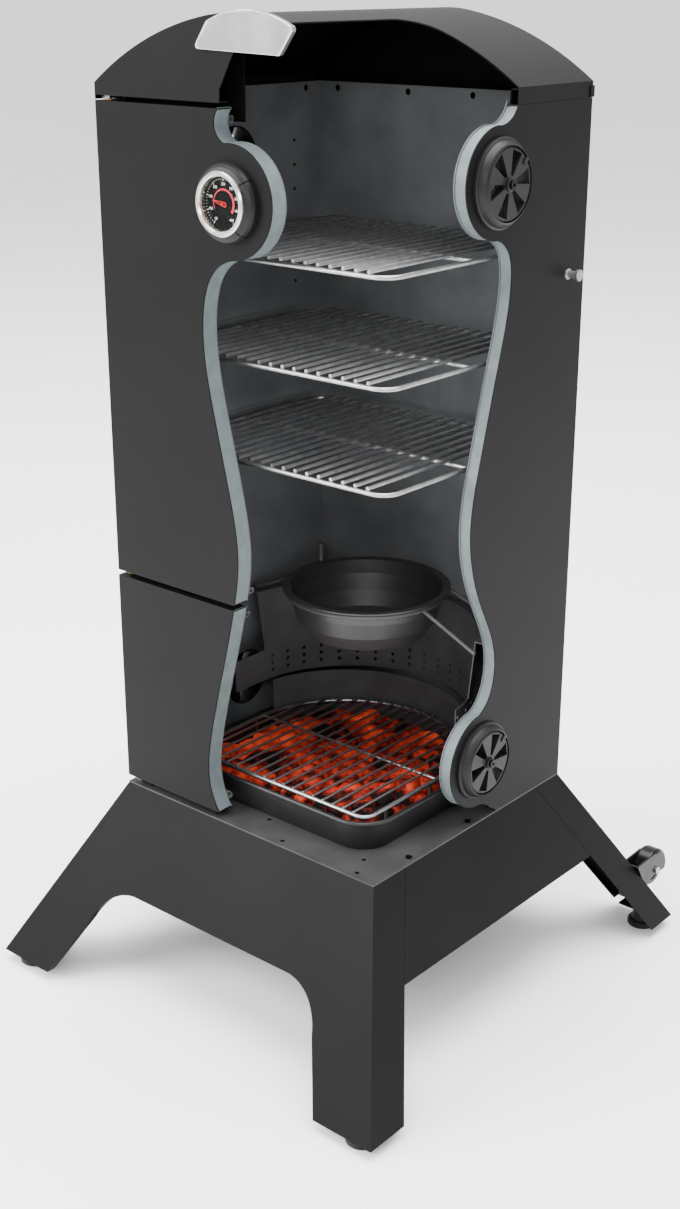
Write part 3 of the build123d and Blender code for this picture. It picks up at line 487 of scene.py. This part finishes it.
def charcoal(finish):
    """A deep bed of lumps over the tray floor, kept under the grate and inside the shield."""
    rng = random.Random(4)
    low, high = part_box("charcoal_tray")
    shield_low, shield_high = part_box("fire_shield")
    grate_low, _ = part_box("charcoal_grate")
    floor_z = grate_low[2]
    half = (shield_high[0] - shield_low[0]) / 2 - 6 * MM
    back = shield_high[1] - 6 * MM
    front = low[1] + 14 * MM
    arc_y = back - half
    bm = bmesh.new()
    pitch = 27 * MM
    for layer, (height, size) in enumerate(((10 * MM, 19 * MM), (24 * MM, 18 * MM))):
        rows = int((back - front) / pitch)
        columns = int(2 * half / pitch)
        for row in range(rows + 1):
            for column in range(columns + 1):
                x = -half + pitch * (column + 0.5 * ((row + layer) % 2)) + rng.uniform(-4, 4) * MM
                y = front + pitch * row + rng.uniform(-4, 4) * MM
                scale = size * rng.uniform(0.8, 1.15)
                edge = hypot(x, max(0.0, y - arc_y))
                inset = 14 * MM
                corner_x, corner_y = abs(x) - (half - 40 * MM), (front + 40 * MM) - y
                cut = corner_x > 0 and corner_y > 0 and hypot(corner_x, corner_y) > 32 * MM
                if edge > half - inset or y < front + 4 * MM or cut:
                    continue
                lump(bm, rng, Vector((x, y, floor_z + height + rng.uniform(-2, 2) * MM)), scale)
    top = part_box("charcoal_tray")[1][2] - 1.5 * MM
    bottom = floor_z
    for vert in bm.verts:
        vert.co.z = min(max(vert.co.z, bottom), top)
    mesh = bpy.data.meshes.new("charcoal_lumps")
    bm.to_mesh(mesh)
    bm.free()
    coals = piece("charcoal_lumps", mesh, "tray", finish)
    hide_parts("charcoal_bed")


# ---- base plate ----
def ring_solid(bm, middle, profile, sides):
    """A closed turned solid: (radius, height) rings round an upright axis, capped at both ends."""
    rings = []
    for radius, height in profile:
        turns = [2 * pi * k / sides for k in range(sides)]
        rings.append([bm.verts.new((middle[0] + radius * cos(t), middle[1] + radius * sin(t), height))
                      for t in turns])
    bridge(bm, rings, in_line)
    cap(bm, rings)


def plate_hole_shade_plugs(finish):
    """Black plugs, just below flush, in the small holes of the base's top plate that no screw fills: painted
    shade that stands in for the dark of the open holes.
    """
    low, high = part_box("base_top_plate")
    top, border, reach = high[2], 4 * MM, 6 * MM
    groups = []
    for vert in frame["nodes"]["base_top_plate"].data.vertices:
        x, y, z = vert.co
        inside = low[0] + border < x < high[0] - border and low[1] + border < y < high[1] - border
        if abs(z - top) > 0.05 * MM or not inside:
            continue
        near = [group for group in groups if hypot(group[0][0] - x, group[0][1] - y) < reach]
        if near:
            near[0].append((x, y))
        else:
            groups.append([(x, y)])
    screws = [vert.co for vert in frame["nodes"]["plate_screws"].data.vertices]
    bm = bmesh.new()
    for group in groups:
        middle = [sum(axis) / len(group) for axis in zip(*group)]
        radius = max(hypot(x - middle[0], y - middle[1]) for x, y in group)
        filled = any(hypot(co.x - middle[0], co.y - middle[1]) < reach for co in screws)
        if filled or len(group) < 8 or not 1.0 * MM < radius < 4.0 * MM:
            continue
        shank, under, rim = 0.92 * radius, low[2] - 0.3 * MM, top - 0.25 * MM
        # Each plug is a dark fill in an open hole: painted shade.
        ring_solid(bm, middle, [(shank, under), (shank, rim), (0.7 * shank, top - 0.1 * MM)], 20)
    piece("plate_hole_shade_plugs", baked("plate_hole_shade_plugs", bm), "cabinet", finish, False)


# ---- edge channels round the cut ----
SHEET = 1.5 * MM


def cut_outline(node, across, face, start_at, holes):
    """The cut edge of a skin as (across, z) points from the bottom up, read off its outer face."""
    points = set()
    for vert in frame["nodes"][node].data.vertices:
        place, on_face = vert.co[across], abs(vert.co[1 - across] - face) < 0.05 * MM
        away = all(hypot(place - a, vert.co.z - z) > radius for a, z, radius in holes)
        if on_face and away and start_at(place):
            points.add((round(place, 5), round(vert.co.z, 5)))
    chain = [min(points, key=lambda p: p[1])]
    points.discard(chain[0])
    while points:
        here = chain[-1]
        nearest = min(points, key=lambda p: hypot(p[0] - here[0], p[1] - here[1]))
        points.discard(nearest)
        if hypot(nearest[0] - here[0], nearest[1] - here[1]) > 1.0 * MM:
            chain.append(nearest)
    return chain


def channel(name, outline, depths, recesses, missing_side, place, body, finish):
    """A folded strip that closes the gap between two skins along the cut."""
    thick = 1.0 * MM
    bm = bmesh.new()
    rings = []
    for i, (a, z) in enumerate(outline):
        before, after = outline[max(i - 1, 0)], outline[min(i + 1, len(outline) - 1)]
        along = Vector((after[0] - before[0], after[1] - before[1])).normalized()
        inward = Vector((-along.y, along.x)) if missing_side > 0 else Vector((along.y, -along.x))
        steps = list(zip(depths, recesses))
        outer = [(a + inward.x * r, z + inward.y * r, d) for d, r in steps]
        inner = [(a + inward.x * (r + thick), z + inward.y * (r + thick), d) for d, r in steps]
        rings.append([bm.verts.new(place(*point)) for point in outer + inner[::-1]])
    bridge(bm, rings, in_line)
    cap(bm, rings)
    piece(name, baked(name, bm), body, finish, False)


def edge_channels(finish):
    gauge = centre("thermometer_housing")
    for level in ("upper", "lower"):
        skin, liner = f"{level}_door_skin", f"{level}_door_liner"
        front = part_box(skin)[0][1]
        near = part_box(skin)[0][0] + 100 * MM
        outline = cut_outline(skin, 0, front, lambda x: x > near, [(gauge.x, gauge.z, 12 * MM)])
        depths = (front + SHEET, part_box(liner)[0][1])
        channel(f"{level}_door_edge", outline, depths, (0.4 * MM, 0.4 * MM), 1, lambda a, z, d: (a, d, z),
                f"{level}_door", finish)
    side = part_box("right_outer_skin")[1][0]
    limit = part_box("right_outer_skin")[1][1] - 100 * MM
    hubs = [centre(f"damper_rotor_{level}_right") for level in ("lower", "upper")]
    holes = [(hub.y, hub.z, 52 * MM) for hub in hubs]
    outline = cut_outline("right_outer_skin", 1, side, lambda y: y < limit, holes)
    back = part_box("right_liner")[1][0]
    front = side - SHEET
    step = front + (back - front) * 0.66
    depths = (front, step, step - 0.6 * MM, back)
    channel("right_wall_edge", outline, depths, (0.4 * MM, 0.4 * MM, 1.6 * MM, 1.6 * MM), -1,
            lambda a, z, d: (d, a, z), "cabinet", finish)


# ---- thermometer face ----
def ink_mesh(name, outlines, y):
    """Thin printed marks: flat outlines of (x, z) points, raised a hair off the dial."""
    thickness = 0.08 * MM
    bm = bmesh.new()
    for outline in outlines:
        low = [bm.verts.new((x, y, z)) for x, z in outline]
        high = [bm.verts.new((x, y - thickness, z)) for x, z in outline]
        bm.faces.new(low)
        bm.faces.new(high[::-1])
        for i in range(len(low)):
            j = (i + 1) % len(low)
            bm.faces.new((low[i], high[i], high[j], low[j]))
    return baked(name, bm)


def dial_marks():
    """Ticks and plain numbers round the rim, and a red band that widens towards the hot end."""
    middle = centre("thermometer_dial")
    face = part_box("thermometer_dial")[0][1]
    ink = printed("pale_ink", "c9c8c2", "dedcd6", 0.5)
    red = printed("red_ink", "a82830", "b8363d", 0.5)

    def at(radius, angle):
        return (middle.x + radius * MM * cos(radians(angle)), middle.z + radius * MM * sin(radians(angle)))

    def wedge(r0, r1, angle, width):
        side = width / 2
        turn = radians(angle)
        across = (-sin(turn) * side * MM, cos(turn) * side * MM)
        a, b = at(r0, angle), at(r1, angle)
        return [(a[0] - across[0], a[1] - across[1]), (b[0] - across[0], b[1] - across[1]),
                (b[0] + across[0], b[1] + across[1]), (a[0] + across[0], a[1] + across[1])]

    low, high, steps = 235.0, -55.0, 40
    ticks = []
    for i in range(steps + 1):
        angle = low + (high - low) * i / steps
        major = i % 5 == 0
        ticks.append(wedge(24.4 if major else 25.8, 27.6, angle, 0.75 if major else 0.4))
    piece("dial_ticks", ink_mesh("dial_ticks", ticks, face), "upper_door", ink, False)
    outer, inner = [], []
    count = 60
    for i in range(count + 1):
        angle, half = 205 - 243 * i / count, 0.35 + 1.35 * i / count
        outer.append(at(15.4 + half, angle))
        inner.append(at(15.4 - half, angle))
    heat_band = ink_mesh("dial_heat_band", [outer + inner[::-1]], face)
    piece("dial_heat_band", heat_band, "upper_door", red, False)
    for i in range(9):
        angle = low + (high - low) * i / 8
        spot = at(21.2, angle)
        text = bpy.data.curves.new(f"dial_number_{i + 1}", "FONT")
        text.body = str(50 * (i + 1))
        text.size = 4.2 * MM
        text.extrude = 0.04 * MM
        text.align_x = "CENTER"
        text.align_y = "CENTER"
        text.materials.append(ink)
        number = bpy.data.objects.new(text.name, text)
        number.location = (spot[0], face - 0.05 * MM, spot[1])
        number.rotation_euler = (pi / 2, 0, 0)
        bpy.context.collection.objects.link(number)
        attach(number, "upper_door")


def needle(finish):
    """An outlined pointer on a small hub, in place of the plain one."""
    low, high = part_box("thermometer_needle")
    middle = centre("thermometer_dial")
    outer = [(-1.0, -2.6), (5.2, -4.0), (6.2, 0.4), (3.4, 2.2), (-15.0, 3.2), (-15.4, 2.6)]
    inner = [(-0.6, -1.5), (4.1, -2.6), (4.9, 0.1), (2.9, 1.2), (-11.6, 2.3), (-11.8, 2.1)]
    bm = bmesh.new()
    loops = []
    for shape, y in ((outer, low[1] + 1.2 * MM), (inner, low[1] + 1.2 * MM),
                     (inner, low[1] + 2.0 * MM), (outer, low[1] + 2.0 * MM)):
        loops.append([bm.verts.new((middle.x + x * MM, y, middle.z + z * MM)) for x, z in shape])
    bridge(bm, loops, in_loop)
    sides = 24
    profile = [(0.9, low[1] + 0.2 * MM), (1.5, low[1] + 0.5 * MM), (1.5, high[1] - 0.1 * MM)]
    rings = []
    for radius, y in profile:
        turns = [2 * pi * k / sides for k in range(sides)]
        rings.append([bm.verts.new((middle.x + radius * MM * cos(t), y, middle.z + radius * MM * sin(t)))
                      for t in turns])
    bridge(bm, rings, in_line)
    cap(bm, rings)
    mesh = baked("needle_outline", bm)
    pointer = piece("needle_outline", mesh, "gauge_needle", finish, False)
    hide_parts("thermometer_needle")


def housing_seams(finish):
    """Dark parting lines over the rounded shoulder of the thermometer housing."""
    middle = centre("thermometer_housing")
    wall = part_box("thermometer_housing")[1][1]
    profile = [(36.6, 14.0), (39.5, 13.05), (43.0, 10.05), (44.5, 6.0), (44.5, 0.6)]
    bm = bmesh.new()
    for angle in (37, -52):
        turn = radians(angle)
        out, side = Vector((cos(turn), 0, sin(turn))), Vector((-sin(turn), 0, cos(turn))) * 0.6 * MM
        rows = []
        for lift in (0.15, -0.3):
            row = []
            for radius, height in profile:
                spot = Vector((middle.x, wall - (height + lift) * MM, middle.z)) + out * (radius + lift) * MM
                row.append((bm.verts.new(spot - side), bm.verts.new(spot + side)))
            rows.append(row)
        for k in range(len(profile) - 1):
            (a, b), (c, d) = rows[0][k], rows[0][k + 1]
            (e, f), (g, h) = rows[1][k], rows[1][k + 1]
            for face in ((a, b, d, c), (e, g, h, f), (a, c, g, e), (b, f, h, d)):
                bm.faces.new(face)
        for k in (0, len(profile) - 1):
            (a, b), (e, f) = rows[0][k], rows[1][k]
            bm.faces.new((a, e, f, b))
    piece("housing_seams", baked("housing_seams", bm), "upper_door", finish, False)


# ---- badge ----
def badge_rim(finish):
    """A raised bright border round the blank badge."""
    node = frame["nodes"]["badge_plate"]
    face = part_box("badge_plate")[0][1]
    middle = centre("badge_plate")
    on_face = [v.co for v in node.data.vertices if abs(v.co.y - face) < 0.05 * MM]
    flat = {(round(co.x, 5), round(co.z, 5)) for co in on_face}
    ring = sorted(flat, key=lambda p: atan2(p[1] - middle.z, (p[0] - middle.x) * 0.4))
    width, lift = 3.0 * MM, 0.9 * MM
    bm = bmesh.new()
    loops = []
    sunk = -0.5 * MM
    for inset, rise in ((0.0, sunk), (0.0, lift * 0.6), (0.25, lift), (0.75, lift), (1.0, 0.0), (1.0, sunk)):
        loop = []
        for x, z in ring:
            reach = Vector((middle.x - x, middle.z - z))
            step = reach.normalized() * inset * width
            loop.append(bm.verts.new((x + step.x, face - rise, z + step.y)))
        loops.append(loop)
    bridge(bm, loops, in_loop)
    piece("badge_rim", baked("badge_rim", bm), "cabinet", finish, False)


camera()
studio()
finishes = finish_nodes()
charcoal(finishes["charcoal"])
edge_channels(bare_zinc())
plate_hole_shade_plugs(shade_and_seam_black())
dial_marks()
needle(finishes["needle_paint"])
housing_seams(shade_and_seam_black())
badge_rim(finishes["gauge_bezel"])
